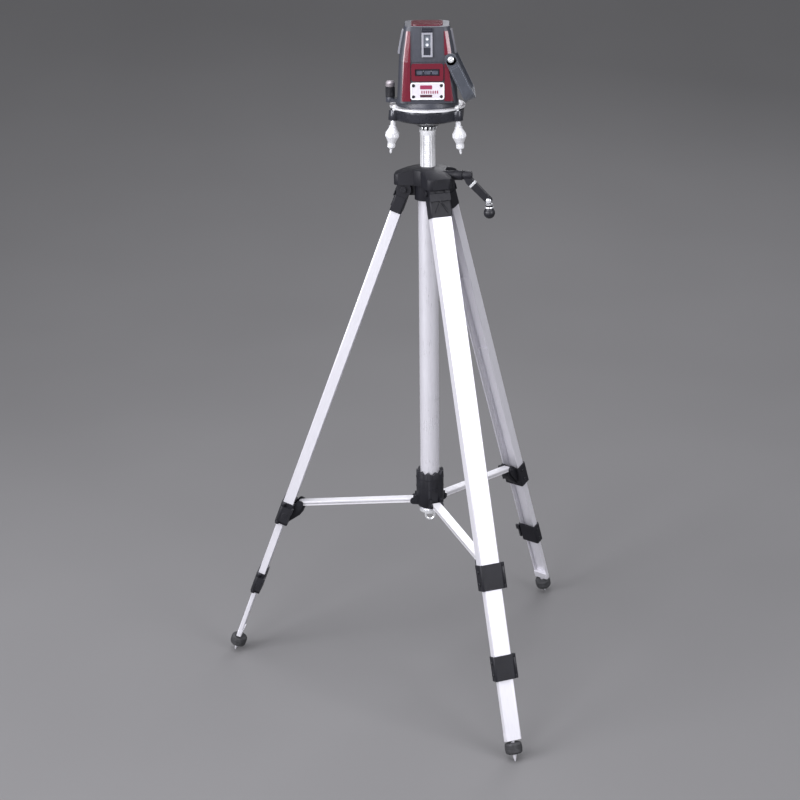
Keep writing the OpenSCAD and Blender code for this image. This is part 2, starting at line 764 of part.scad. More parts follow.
// Guard strips on the front and rear faces, the panel bezel and the top cap
module red_trim() {
  color(gloss_red) {
    intersection() {
      rotate([90, 0, 0]) linear_extrude(200, center = true) strips_2d();
      union() {
        difference() {
          lower_form(1.6);
          lower_form(0.05, 0.2);
        }
        difference() {
          upper_form(1.6);
          upper_form(0.05, 0.2);
        }
      }
    }
    on_front(key_z) difference() {
      rotate([90, 0, 0]) linear_extrude(3) round_rect(50.5, 27.4, 4);
      translate([-19.2, -10, -5.2]) cube([38.4, 20, 10.4]);
    }
    translate([0, 0, shell_top_z]) linear_extrude(cap_top_z - shell_top_z) round_rect(50, 50, 8);
  }
}

// Places its children on the lower housing's front face, at a height, facing -Y
module on_front(z) {
  run = (z - shell_low_z) / (waist_z - shell_low_z);
  half = body_foot + (body_waist - body_foot) * run;
  translate([0, -half, z]) rotate([-lower_lean, 0, 0]) children();
}

module control_key() {
  color("#15161c") on_front(key_z) translate([-18.8, -1.2, -4.8]) cube([37.6, 5, 9.6]);
}

module front_plate() {
  color(bright_metal) on_front(plate_z) difference() {
    rotate([90, 0, 0]) linear_extrude(2) round_rect(53, 26.6, 3.5);
    for (x = [-1, 1], z = [-1, 1]) translate([x * 22.5, -1, z * 9.3]) rotate([90, 0, 0]) cylinder(h = 3, r = 1.8);
  }
}

// Places its children on one of the upper housing's leaning faces, -Y outward
module on_window(a) {
  rotate([0, 0, a]) translate([0, -window_y, window_z]) rotate([-window_lean, 0, 0]) children();
}

// Three light-grey window frames with their panes
module windows() {
  rim = 3;
  color("#9aa0a6") for (a = [0, 90, -90]) on_window(a) {
    difference() {
      translate([0.05 - window_w / 2, -2.6, 0.05 - window_h / 2]) cube([window_w - 0.1, 4.2, window_h - 0.1]);
      translate([rim - window_w / 2, -5, rim - window_h / 2]) cube([window_w - 2 * rim, 8, window_h - 2 * rim]);
    }
    translate([rim - 0.5 - window_w / 2, -0.4, rim - 0.5 - window_h / 2])
      cube([window_w - 2 * rim + 1, 1.2, window_h - 2 * rim + 1]);
  }
}

// Carry strap: two flat runs outside the housing and a cross run
module carry_strap() {
  color("#3a3d47") translate([strap_x, 0, strap_z]) rotate([0, -strap_lean, 0]) {
    for (y = [-1, 1]) difference() {
      translate([0, y * (strap_y + strap_t / 2), 0]) rotate([90, 0, 0]) linear_extrude(strap_t, center = true) {
        circle(strap_w / 2);
        translate([-strap_w / 2, -strap_run]) square([strap_w, strap_run]);
      }
      translate([0, y * strap_y, 0]) rotate([90, 0, 0]) cylinder(h = 20, r = 2.6, center = true);
    }
    translate([-strap_w / 2, -strap_y - strap_t, -strap_run - strap_t])
      cube([strap_w, 2 * (strap_y + strap_t), strap_t]);
  }
}

module gimbal_ring() {
  color("#b08d57") {
    translate([0, 0, gimbal_z - 3]) difference() {
      cylinder(h = 6, r = 20.5);
      translate([0, 0, -1]) cylinder(h = 8, r = 17);
      for (y = [-1, 1]) translate([0, y * 18, 4]) rotate([90, 0, 0]) cylinder(h = 8, r = 1.55, center = true);
    }
    for (x = [-1, 1]) translate([x * 24.5, 0, gimbal_z]) rotate([0, 90, 0])
      cylinder(h = 9, r = 1.5, center = true);
  }
}

// Pendulum: body hung in the gimbal, laser barrels above and a damping weight below
module pendulum() {
  color("#8a8f98") {
    translate([0, 0, 1050]) cylinder(h = 65, r = 11.5);
    translate([0, 0, 1040]) cylinder(h = 10.01, r = 15);
    for (a = [0, 90, -90]) rotate([0, 0, a]) translate([0, 0, window_z]) rotate([90, 0, 0]) cylinder(h = 24, r = 5);
    translate([0, 0, gimbal_z + 1]) rotate([90, 0, 0]) cylinder(h = 40, r = 1.5, center = true);
  }
}

module battery_pack() {
  color("#d8c46a") for (x = [-17, 0, 17]) translate([x, 31.5, shell_low_z + 3.6]) {
    cylinder(h = 49, r = 7.1);
    translate([0, 0, 48.9]) cylinder(h = 1.2, r = 2.7);
  }
}

// Rear door, hinged at its lower edge
module battery_door() {
  color(dark_housing) translate([0, door_y, door_z]) rotate([lower_lean, 0, 0]) {
    translate([-26.6, -1.1, 0.2]) cube([53.2, 2.2, 44.4]);
    rotate([0, 90, 0]) cylinder(h = 53.2, r = 1.6, center = true);
  }
}

module circuit_board() {
  color("#1f6b45") {
    translate([-24, -34, 1050]) cube([48, 1.6, 24]);
    for (x = [-14, 0, 14]) translate([x - 3, -36.5, key_z - 3]) cube([6, 2.6, 6]);
  }
}

leg_top(0);  // front_leg_top
upper_tube(0);  // front_upper_tube
upper_clamp(0);  // front_upper_clamp
upper_lever(0);  // front_upper_lever
middle_tube(0);  // front_middle_tube
lower_clamp(0);  // front_lower_clamp
lower_lever(0);  // front_lower_lever
lower_tube(0);  // front_lower_tube
foot(0);  // front_foot
strut(0);  // front_strut
leg_top(1);  // right_leg_top
upper_tube(1);  // right_upper_tube
upper_clamp(1);  // right_upper_clamp
upper_lever(1);  // right_upper_lever
middle_tube(1);  // right_middle_tube
lower_clamp(1);  // right_lower_clamp
lower_lever(1);  // right_lower_lever
lower_tube(1);  // right_lower_tube
foot(1);  // right_foot
strut(1);  // right_strut
leg_top(2);  // left_leg_top
upper_tube(2);  // left_upper_tube
upper_clamp(2);  // left_upper_clamp
upper_lever(2);  // left_upper_lever
middle_tube(2);  // left_middle_tube
lower_clamp(2);  // left_lower_clamp
lower_lever(2);  // left_lower_lever
lower_tube(2);  // left_lower_tube
foot(2);  // left_foot
strut(2);  // left_strut
shoulder();
guide_tube();
pivot_bolts();
spreader_hub();
end_hook();
centre_column();
lock_ring();
crank_shaft();
crank_arm();
grip_spindle();
crank_grip();
base_frame();
dial_ring();
level_screw(screw_az[0]);  // left_level_screw
level_screw(screw_az[1]);  // right_level_screw
level_screw(screw_az[2]);  // rear_level_screw
turntable();
fine_knob();
lower_housing();
upper_housing();
red_trim();
control_key();
front_plate();
windows();
carry_strap();
gimbal_ring();
pendulum();
battery_pack();
battery_door();
circuit_board();
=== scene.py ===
"""Looks for a laser level on its folding tripod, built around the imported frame. Metres, +Z up."""

import json
import math

import bmesh
import bpy
from mathutils import Matrix, Vector


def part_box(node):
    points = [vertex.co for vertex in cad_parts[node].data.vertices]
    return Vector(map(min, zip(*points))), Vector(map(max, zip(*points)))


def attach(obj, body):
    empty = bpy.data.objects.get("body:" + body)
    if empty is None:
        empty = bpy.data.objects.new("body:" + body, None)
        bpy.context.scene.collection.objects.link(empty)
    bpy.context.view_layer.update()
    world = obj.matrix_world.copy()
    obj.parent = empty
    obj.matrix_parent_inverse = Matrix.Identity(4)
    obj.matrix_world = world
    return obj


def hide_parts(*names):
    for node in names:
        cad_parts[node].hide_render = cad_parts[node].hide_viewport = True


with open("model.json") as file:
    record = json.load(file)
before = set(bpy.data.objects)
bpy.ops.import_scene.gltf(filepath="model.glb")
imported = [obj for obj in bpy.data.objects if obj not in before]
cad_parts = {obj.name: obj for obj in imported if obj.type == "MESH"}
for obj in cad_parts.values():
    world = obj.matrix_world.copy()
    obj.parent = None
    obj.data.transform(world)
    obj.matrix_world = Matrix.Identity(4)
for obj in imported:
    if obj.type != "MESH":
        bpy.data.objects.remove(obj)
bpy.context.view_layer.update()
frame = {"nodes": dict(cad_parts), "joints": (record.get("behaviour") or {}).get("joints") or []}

MM = 0.001
UP = Vector((0, 0, 1))
LEGS = ("front", "right", "left")
JOINTS = {j["name"]: j for j in frame["joints"]}


# ---- Camera, light and floor ----

CAMERA_PLACE = Vector((0, -2.8425, 1.5547))
CAMERA_PITCH, CAMERA_YAW, CAMERA_ROLL = (math.radians(a) for a in (20.33, -1.01, -0.73))
CAMERA_LENS = 80.2
SENSOR = 36


def make_camera():
    data = bpy.data.cameras.new("camera")
    data.lens, data.sensor_width = CAMERA_LENS, SENSOR
    camera = bpy.data.objects.new("camera", data)
    bpy.context.scene.collection.objects.link(camera)
    ahead = Vector((
        math.sin(CAMERA_YAW) * math.cos(CAMERA_PITCH),
        math.cos(CAMERA_YAW) * math.cos(CAMERA_PITCH),
        -math.sin(CAMERA_PITCH),
    ))
    right = ahead.cross(UP).normalized()
    up = right.cross(ahead)
    rolled = right * math.cos(CAMERA_ROLL) + up * math.sin(CAMERA_ROLL)
    camera.matrix_world = Matrix.Translation(CAMERA_PLACE) @ axes(rolled, -ahead)
    bpy.context.scene.camera = camera


def make_light(name, place, aim, size, power, tint=(1, 1, 1)):
    """A soft square area light at place, pointing at aim."""
    data = bpy.data.lights.new(name, "AREA")
    data.shape, data.size, data.energy, data.color = "SQUARE", size, power, tint
    light = bpy.data.objects.new(name, data)
    bpy.context.scene.collection.objects.link(light)
    light.location = place
    light.rotation_euler = (Vector(aim) - Vector(place)).to_track_quat("-Z", "Y").to_euler()


def make_studio():
    """A dim pale world, five soft lights, and a plain tone curve that keeps pale metal pale."""
    bpy.context.scene.view_settings.view_transform = "Standard"
    world = bpy.data.worlds.new("studio")
    bpy.context.scene.world = world
    world.use_nodes = True
    background = world.node_tree.nodes["Background"]
    background.inputs["Color"].default_value = (0.86, 0.88, 0.92, 1)
    background.inputs["Strength"].default_value = 0.42
    middle = (0, 0, 0.6)
    cool = (0.95, 0.95, 1)
    make_light("overhead", (-0.4, -0.5, 3.4), middle, 2.6, 100, cool)
    make_light("right_front", (2.6, -2.4, 1.9), middle, 1.8, 76, cool)
    make_light("left_front", (-2.6, -1.6, 1.7), middle, 1.7, 104, cool)
    make_light("beside_camera", (-1.3, -3.0, 1.8), (0, 0, 0.9), 1.1, 50, cool)
    make_light("behind", (0.8, 2.6, 2.4), (0, 0, 0.9), 1.6, 40, cool)


def make_floor():
    """A large pale floor that curves up far behind the object."""
    half, back, rise, radius, steps = 7.0, 1.6, 8.0, 6.0, 32
    line = [(-half, 0.0)]
    for k in range(steps + 1):
        a = math.radians(90 * k / steps)
        line.append((back + radius * math.sin(a), radius * (1 - math.cos(a))))
    line.append((back + radius, rise))
    points = [(x, y, z) for y, z in line for x in (-half, half)]
    faces = [(i, i + 1, i + 3, i + 2) for i in range(0, len(points) - 2, 2)]
    mesh = bpy.data.meshes.new("floor")
    mesh.from_pydata(points, [], faces)
    mesh.shade_smooth()
    floor = bpy.data.objects.new("floor", mesh)
    bpy.context.scene.collection.objects.link(floor)
    mesh.materials.append(studio_paper())


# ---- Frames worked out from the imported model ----

def axes(x, z, origin=(0, 0, 0)):
    """The 4x4 frame with that X axis and Z axis, which are at right angles."""
    x, z = Vector(x).normalized(), Vector(z).normalized()
    return Matrix.Translation(origin) @ Matrix((x, z.cross(x), z)).transposed().to_4x4()


def leg_frame(leg):
    """Pivot at the origin, leg along -Z, outer face on +X, lever side on +Y."""
    fold = JOINTS[leg + "_fold"]
    up_leg = -Vector(JOINTS[leg + "_middle_slide"]["axis"])
    return axes(Vector(fold["axis"]).cross(up_leg), up_leg, fold["pos_m"])


def strut_frame(leg):
    """Hub pivot at the origin, strut along +X, its width along Y."""
    hinge = JOINTS[leg + "_strut_hinge"]
    across = Vector(hinge["axis"]).normalized()
    low, high = (Vector(v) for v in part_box(leg + "_strut"))
    start = Vector(hinge["pos_m"])
    end = Vector([h if abs(h - s) > abs(l - s) else l for l, h, s in zip(low, high, start)])
    along = (end - start) - across * (end - start).dot(across)
    return axes(along, along.cross(across), start)


def crank_frame():
    """Shaft along +X, +Z up."""
    turn = JOINTS["crank_turn"]
    return axes(turn["axis"], UP, turn["pos_m"])


def grip_frame():
    """Grip axis along -Z, from its hinge."""
    spin, fold = JOINTS["grip_spin"], JOINTS["grip_fold"]
    z = -Vector(spin["axis"])
    return axes(Vector(fold["axis"]).cross(z), z, fold["pos_m"])


def box_middle(node):
    low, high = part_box(node)
    return (low + high) / 2


def front_frame(node):
    """The middle of a piece on the housing's leaning front: +X right, +Z up the face, -Y outward."""
    inward = Vector(JOINTS["key_press"]["axis"])
    return axes((1, 0, 0), Vector((1, 0, 0)).cross(inward), box_middle(node))


OUTWARD = Matrix.Rotation(math.radians(90), 4, "X")
WINDOW_SIDES = {"front": 0, "right": 90, "left": -90}
WINDOW_Y, WINDOW_Z, WINDOW_LEAN = 40.9, 1107.0, 11.0
STRAP_LEAN = 25.6
LEVEL_SCREW_DEG = (204, 324, 84)
ARM_START, ARM_END = (70, 0, -9), (101.5, 0, -40.5)


def window_face(side):
    """The middle of a window: +X right, +Y up its face, +Z outward."""
    turn = Matrix.Rotation(math.radians(WINDOW_SIDES[side]), 4, "Z")
    lean = Matrix.Rotation(math.radians(-WINDOW_LEAN), 4, "X")
    return turn @ Matrix.Translation(Vector((0, -WINDOW_Y, WINDOW_Z)) * MM) @ lean @ OUTWARD


def strap_frame():
    """The strap's pivot: +X across its width, -Z along its run."""
    a = math.radians(STRAP_LEAN)
    return axes((math.cos(a), 0, math.sin(a)), (-math.sin(a), 0, math.cos(a)), JOINTS["strap_swing"]["pos_m"])


def screw_frame(side):
    """A levelling screw's axis along Z, from its hinge point."""
    turn = JOINTS[side + "_level_turn"]
    axis = Vector(turn["axis"])
    return axes(axis.orthogonal(), axis, turn["pos_m"])


# ---- Mesh building ----

def outline_rounded(width, height, radius, steps=5):
    """Corner-rounded rectangle about the origin, anticlockwise."""
    points = []
    for k, (sx, sy) in enumerate(((1, 1), (-1, 1), (-1, -1), (1, -1))):
        for j in range(steps + 1):
            a = math.radians(90 * (k + j / steps))
            points.append((
                sx * (width / 2 - radius) + radius * math.cos(a),
                sy * (height / 2 - radius) + radius * math.sin(a),
            ))
    return points


def outline_circle(radius, steps=32):
    return [(radius * math.cos(2 * math.pi * k / steps), radius * math.sin(2 * math.pi * k / steps))
            for k in range(steps)]


def prism(outline, low, high, place=Matrix.Identity(4)):
    """(points, faces) of an outline in XY, extruded from low to high along Z. Sizes in mm."""
    n = len(outline)
    points = [place @ (Vector((x, y, z)) * MM) for z in (low, high) for x, y in outline]
    faces = [tuple(range(n - 1, -1, -1)), tuple(range(n, 2 * n))]
    faces += [(i, (i + 1) % n, n + (i + 1) % n, n + i) for i in range(n)]
    return points, faces


def lathe(profile, place=Matrix.Identity(4), steps=48):
    """(points, faces) of a closed profile of (radius, height) in mm, turned about Z."""
    points, rings = [], []
    for r, z in profile:
        if r < 1e-6:
            rings.append([len(points)] * steps)
            points.append(place @ (Vector((0, 0, z)) * MM))
        else:
            rings.append(list(range(len(points), len(points) + steps)))
            points += [place @ (Vector((x, y, z)) * MM) for x, y in outline_circle(r, steps)]
    faces = []
    for a, b in zip(rings, rings[1:] + ([] if profile[0][0] < 1e-6 else rings[:1])):
        for i in range(steps):
            j = (i + 1) % steps
            face = tuple(dict.fromkeys((a[i], a[j], b[j], b[i])))
            if len(face) > 2:
                faces.append(face)
    return points, faces


def sweep(path, section, place=Matrix.Identity(4), side=Vector((1, 0, 0))):
    """(points, faces) of a closed section of (side, normal) in mm, swept along points across side."""
    points, n = [], len(section)
    path = [Vector(p) for p in path]
    for i, p in enumerate(path):
        ahead = (path[min(i + 1, len(path) - 1)] - path[max(i - 1, 0)]).normalized()
        normal = ahead.cross(side).normalized()
        points += [place @ ((p + side * u + normal * v) * MM) for u, v in section]
    faces = [tuple(range(n - 1, -1, -1)), tuple(range(len(points) - n, len(points)))]
    for i in range(len(path) - 1):
        for j in range(n):
            k = (j + 1) % n
            faces.append((i * n + j, i * n + k, (i + 1) * n + k, (i + 1) * n + j))
    return points, faces


def ring(outer, inner, low, high, place=Matrix.Identity(4)):
    """Flat ring between two outlines that have the same number of points."""
    n = len(outer)
    points = [place @ (Vector((x, y, z)) * MM) for z in (low, high) for x, y in outer + inner]
    faces = []
    for i in range(n):
        j = (i + 1) % n
        faces += [(a + i, a + j, b + j, b + i) for a, b in ((0, n), (2 * n, 3 * n), (0, 2 * n), (n, 3 * n))]
    return points, faces


def outline_ribbed(radius, depth, ribs):
    """A circle with ribs around it, as on a knurled knob."""
    points = []
    for k in range(ribs):
        for part, drop in ((0.0, 0), (0.35, 0), (0.5, depth), (0.85, depth)):
            a = 2 * math.pi * (k + part) / ribs
            points.append(((radius - drop) * math.cos(a), (radius - drop) * math.sin(a)))
    return points


def shifted(x=0.0, y=0.0, z=0.0):
    """A move in mm."""
    return Matrix.Translation(Vector((x, y, z)) * MM)


def sideways(y, place=Matrix.Identity(4)):
    """The frame place with its Z axis turned to its +Y side, or to -Y where y is -1."""
    return place @ Matrix.Rotation(math.radians(-90 * y), 4, "X")


def slab(width, height, radius, low, high, place, x=0.0, y=0.0):
    """Block with rounded corners that stands on the XY plane of place."""
    return prism(outline_rounded(width, height, radius, 3), low, high, place @ shifted(x, y))


def build(name, body, finish, parts, bevel=0.0, sharp_deg=35):
    """One piece from its parts, with its edges rounded by bevel mm, riding on a body."""
    mesh = bpy.data.meshes.new(name)
    bm = bmesh.new()
    for points, faces in parts:
        corners = [bm.verts.new(p) for p in points]
        for face in faces:
            bm.faces.new([corners[i] for i in face])
    bmesh.ops.recalc_face_normals(bm, faces=bm.faces)
    for edge in bm.edges:
        edge.smooth = edge.calc_face_angle(0) < math.radians(sharp_deg)
    for face in bm.faces:
        face.smooth = True
    bm.to_mesh(mesh)
    bm.free()
    mesh.materials.append(finish)
    piece = bpy.data.objects.new(name, mesh)
    bpy.context.scene.collection.objects.link(piece)
    if bevel:
        round_edges(piece, bevel)
    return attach(piece, body)


def round_edges(piece, width_mm, segments=2):
    bevel = piece.modifiers.new("edges", "BEVEL")
    bevel.width, bevel.segments = width_mm * MM, segments
    bevel.limit_method, bevel.angle_limit = "ANGLE", math.radians(32)
    bevel.harden_normals = True
    bevel.use_clamp_overlap = True


# ---- Node materials ----

class Finish:
    """One procedural material: fixed values on the shader, and grain in its colour, roughness and height."""

    def __init__(self, name, roughness, **fixed):
        self.material = bpy.data.materials.new(name)
        self.material.use_nodes = True
        self.tree = self.material.node_tree
        self.shader = self.tree.nodes["Principled BSDF"]
        self.shader.inputs["Roughness"].default_value = roughness
        for key, value in fixed.items():
            self.shader.inputs[key.replace("_", " ").title().replace("Ior", "IOR")].default_value = value
        self.roughness = roughness
        self.bumped = None

    def node(self, kind, **values):
        made = self.tree.nodes.new("ShaderNode" + kind)
        for key, value in values.items():
            setattr(made, key, value)
        return made

    def link(self, source, target):
        self.tree.links.new(source, target)

    def coords(self, place=None, stretch=(1, 1, 1)):
        """Object coordinates, seen from the frame place and stretched along its axes."""
        source = self.node("TexCoord").outputs["Object"]
        mapping = self.node("Mapping", vector_type="TEXTURE")
        self.link(source, mapping.inputs["Vector"])
        if place is not None:
            mapping.inputs["Location"].default_value = place.to_translation()
            mapping.inputs["Rotation"].default_value = place.to_euler()
        mapping.inputs["Scale"].default_value = stretch
        return mapping.outputs["Vector"]

    def around(self):
        """Coordinates that turn with the Z axis: the distance from it, and the height."""
        source = self.node("TexCoord").outputs["Object"]
        flat = self.node("VectorMath", operation="MULTIPLY")
        self.link(source, flat.inputs[0])
        flat.inputs[1].default_value = (1, 1, 0)
        reach = self.node("VectorMath", operation="LENGTH")
        self.link(flat.outputs["Vector"], reach.inputs[0])
        split = self.node("SeparateXYZ")
        self.link(source, split.inputs[0])
        joined = self.node("CombineXYZ")
        self.link(reach.outputs["Value"], joined.inputs["X"])
        self.link(split.outputs["Z"], joined.inputs["Z"])
        return joined.outputs["Vector"]

    def noise(self, vector, size_mm, detail=3.0):
        """Noise whose features are about size_mm across."""
        made = self.node("TexNoise")
        self.link(vector, made.inputs["Vector"])
        made.inputs["Scale"].default_value = 1 / (size_mm * MM)
        made.inputs["Detail"].default_value = detail
        return made.outputs["Fac"]

    def cells(self, vector, size_mm):
        made = self.node("TexVoronoi")
        self.link(vector, made.inputs["Vector"])
        made.inputs["Scale"].default_value = 1 / (size_mm * MM)
        return made.outputs["Distance"]

    def ramp(self, value, low, high, from_low=0.3, from_high=0.7):
        made = self.node("MapRange")
        self.link(value, made.inputs["Value"])
        limits = {"From Min": from_low, "From Max": from_high, "To Min": low, "To Max": high}
        for key, number in limits.items():
            made.inputs[key].default_value = number
        return made.outputs["Result"]

    def mix(self, value, first, second):
        """Colour from first to second; each is a colour or another node's output."""
        made = self.node("Mix", data_type="RGBA")
        self.link(value, made.inputs["Factor"])
        for key, colour in ((6, first), (7, second)):
            if isinstance(colour, tuple):
                made.inputs[key].default_value = (*colour, 1)
            else:
                self.link(colour, made.inputs[key])
        return made.outputs[2]

    def worn_edges(self, radius_mm=0.7):
        """About 1 along sharp edges and 0 on open faces."""
        soft = self.node("Bevel", samples=3)
        soft.inputs["Radius"].default_value = radius_mm * MM
        geometry = self.node("NewGeometry")
        dot = self.node("VectorMath", operation="DOT_PRODUCT")
        self.link(soft.outputs["Normal"], dot.inputs[0])
        self.link(geometry.outputs["Normal"], dot.inputs[1])
        return self.ramp(dot.outputs["Value"], 1.0, 0.0, 0.80, 0.97)

    def times(self, first, second):
        made = self.node("Math", operation="MULTIPLY")
        self.link(first, made.inputs[0])
        self.link(second, made.inputs[1])
        return made.outputs["Value"]

    def colour(self, source):
        self.link(source, self.shader.inputs["Base Color"])

    def rough(self, value, spread):
        """Roughness that varies about its mean by spread either way."""
        self.link(self.ramp(value, self.roughness - spread, self.roughness + spread),
                  self.shader.inputs["Roughness"])

    def bump(self, height, depth_mm, strength=1.0):
        made = self.node("Bump")
        made.inputs["Strength"].default_value = strength
        made.inputs["Distance"].default_value = depth_mm * MM
        self.link(height, made.inputs["Height"])
        if self.bumped:
            self.link(self.bumped, made.inputs["Normal"])
        self.bumped = made.outputs["Normal"]
        self.link(self.bumped, self.shader.inputs["Normal"])


def moulded(name, colour, roughness, grain_mm=0.5, depth_mm=0.02, wear=0.35, **fixed):
    """Moulded plastic or a painted casting: fine grain, faint mottling and lighter, rubbed edges."""
    f = Finish(name, roughness, **fixed)
    at = f.coords()
    darker, lighter = tuple(c * 0.85 for c in colour), tuple(c * 1.2 for c in colour)
    rubbed = tuple(min(1.0, c * 2.6 + 0.03) for c in colour)
    base = f.mix(f.ramp(f.noise(at, 24, 4), 0, 1), darker, lighter)
    wear_mask = f.times(f.worn_edges(), f.ramp(f.noise(at, 5, 4), 0, wear, 0.4, 0.65))
    f.colour(f.mix(wear_mask, base, rubbed))
    f.rough(f.noise(at, 3, 5), 0.07)
    f.bump(f.cells(at, grain_mm), depth_mm, 0.35)
    return f.material


def brushed(name, colour, roughness, place=None, streak=40, spread=0.06, metallic=0.3, **fixed):
    """Anodised or brushed metal: fine streaks along the frame's Z axis, with faint handling marks."""
    f = Finish(name, roughness, Metallic=metallic, **fixed)
    streaks = f.noise(f.coords(place, (1, 1, streak)), 0.5, 4)
    smudges = f.noise(f.coords(), 35, 3)
    darker, lighter = tuple(c * 0.93 for c in colour), tuple(min(1, c * 1.04) for c in colour)
    f.colour(f.mix(f.ramp(streaks, 0, 1), darker, lighter))
    both = f.node("Math", operation="ADD")
    f.link(f.ramp(streaks, -0.5, 0.5), both.inputs[0])
    f.link(f.ramp(smudges, 0, 1), both.inputs[1])
    f.link(f.ramp(both.outputs["Value"], roughness - spread, roughness + spread, -0.2, 1.2),
           f.shader.inputs["Roughness"])
    f.bump(streaks, 0.012, 0.25)
    return f.material


def turned(name, colour, roughness, metallic=1.0, **fixed):
    """Metal turned on a lathe: rings about the vertical axis."""
    f = Finish(name, roughness, Metallic=metallic, **fixed)
    rings = f.noise(f.around(), 0.35, 3)
    f.colour(f.mix(f.ramp(rings, 0, 1), tuple(c * 0.92 for c in colour), colour))
    f.rough(rings, 0.06)
    f.bump(rings, 0.01, 0.3)
    return f.material


def polished(name, colour, roughness, metallic=1.0, **fixed):
    """Chrome or polished plate with faint smears."""
    f = Finish(name, roughness, Metallic=metallic, **fixed)
    at = f.coords()
    f.colour(f.mix(f.ramp(f.noise(at, 12, 4), 0, 1), tuple(c * 0.95 for c in colour), colour))
    f.rough(f.noise(at, 4, 5), 0.05)
    f.bump(f.noise(at, 1.5, 2), 0.004, 0.2)
    return f.material


def glossy(name, colour, roughness=0.16, **fixed):
    """Lacquered plastic: a clear coat, depth in the colour and a trace of orange peel."""
    f = Finish(name, roughness, Coat_Weight=0.7, Coat_Roughness=0.06, **fixed)
    at = f.coords()
    f.colour(f.mix(f.ramp(f.noise(at, 18, 3), 0, 1), tuple(c * 0.86 for c in colour), colour))
    f.rough(f.noise(at, 2, 5), 0.05)
    f.bump(f.noise(at, 1.2, 2), 0.006, 0.25)
    return f.material


def rubber(name, colour):
    f = Finish(name, 0.78)
    at = f.coords()
    dusty = tuple(c * 1.7 + 0.01 for c in colour)
    f.colour(f.mix(f.ramp(f.noise(at, 7, 5), 0, 1, 0.45, 0.75), colour, dusty))
    f.rough(f.noise(at, 2.5, 4), 0.08)
    f.bump(f.noise(at, 0.6, 4), 0.05, 0.4)
    return f.material


def webbing(name, colour, place):
    """Woven strap: rows of yarn across the width and ribs along it."""
    f = Finish(name, 0.86, Sheen_Weight=0.35, Sheen_Roughness=0.5)
    at = f.coords(place)
    split = f.node("SeparateXYZ")
    f.link(at, split.inputs[0])
    waves = []
    for axis, pitch_mm in (("X", 1.3), ("Z", 1.0)):
        turn = f.node("Math", operation="MULTIPLY")
        turn.inputs[1].default_value = 2 * math.pi / (pitch_mm * MM)
        f.link(split.outputs[axis], turn.inputs[0])
        wave = f.node("Math", operation="SINE")
        f.link(turn.outputs["Value"], wave.inputs[0])
        waves.append(wave.outputs["Value"])
    weave = f.times(*waves)
    light = tuple(c * 1.7 for c in colour)
    dark = tuple(c * 0.6 for c in colour)
    woven = f.mix(f.ramp(weave, 0, 1, -0.8, 0.8), dark, light)
    faded = f.mix(f.ramp(f.noise(f.coords(), 9, 4), 0, 0.35), woven, tuple(c * 2.2 for c in colour))
    f.colour(faded)
    f.bump(weave, 0.22, 0.7)
    f.bump(f.noise(at, 0.3, 3), 0.05, 0.5)
    return f.material


def studio_paper():
    f = Finish("studio_paper", 0.9)
    f.colour(f.mix(f.ramp(f.noise(f.coords(), 900, 2), 0, 1), (0.128, 0.126, 0.127), (0.140, 0.138, 0.139)))
    f.bump(f.noise(f.coords(), 3, 3), 0.05, 0.1)
    return f.material


BLACK = (0.008, 0.008, 0.011)
ALLOY = (0.66, 0.65, 0.69)
casting = moulded("casting_black", BLACK, 0.52, Specular_IOR_Level=0.3)
lever_black = moulded("lever_black", (0.012, 0.012, 0.015), 0.38, grain_mm=0.8, Specular_IOR_Level=0.35)
foot_rubber = rubber("foot_rubber", (0.022, 0.022, 0.024))
chrome = polished("bright_metal", (0.95, 0.96, 0.98), 0.20, metallic=0.7)
screw_silver = polished("screw_silver", (0.70, 0.70, 0.72), 0.30, metallic=0.3)
strut_alloy = brushed("strut_alloy", (0.76, 0.75, 0.78), 0.34)
tube_alloy = brushed("tube_alloy", ALLOY, 0.32, metallic=0.45)
base_black = moulded("base_black", (0.022, 0.023, 0.030), 0.30, grain_mm=0.35, Metallic=0.35,
                     Coat_Weight=0.25)
ring_silver = turned("ring_silver", (0.86, 0.86, 0.88), 0.26, metallic=0.4)
column_silver = brushed("column_silver", (0.95, 0.95, 0.97), 0.24, metallic=0.4)
housing_grey = moulded("housing_grey", (0.028, 0.030, 0.040), 0.42, grain_mm=0.45, wear=0.2)
trim_red = glossy("trim_red", (0.11, 0.003, 0.014), 0.18)
panel_dark = glossy("panel_dark", (0.010, 0.011, 0.020), 0.10)
plate_silver = brushed("plate_silver", (0.64, 0.61, 0.65), 0.34)
window_grey = glossy("window_grey", (0.25, 0.25, 0.28), 0.24)
brass = turned("brass", (0.62, 0.46, 0.22), 0.28)
cell_sleeve = polished("cells", (0.62, 0.55, 0.26), 0.30)
board_green = glossy("board_green", (0.02, 0.16, 0.07), 0.35)
print_red = moulded("print_red", (0.20, 0.012, 0.05), 0.45, wear=0.1)
print_dark = moulded("print_dark", (0.045, 0.006, 0.018), 0.45, wear=0.1)
print_white = moulded("print_white", (0.74, 0.74, 0.76), 0.40, wear=0.0)
# Painted shade: a dark grey for the strips in the centre column's flutes, standing for the shade in them
painted_flute_shade = moulded("painted_flute_shade", (0.16, 0.16, 0.18), 0.5, wear=0.0)
dark_glass = glossy("dark_glass", (0.018, 0.020, 0.028), 0.07)
grey_glass = glossy("grey_glass", (0.10, 0.11, 0.13), 0.12)
knob_grey = polished("knob_grey", (0.34, 0.31, 0.33), 0.32, metallic=0.5)
key_rubber = rubber("key_rubber", (0.035, 0.038, 0.055))
lamp_lens = glossy("lamp_lens", (0.16, 0.17, 0.19), 0.12)
strap_weave = webbing("strap_weave", (0.027, 0.031, 0.041), strap_frame())
thread = rubber("thread", (0.13, 0.14, 0.17))
LEG_ALLOY = {leg: brushed("leg_alloy_" + leg, ALLOY, 0.36, leg_frame(leg)) for leg in LEGS}

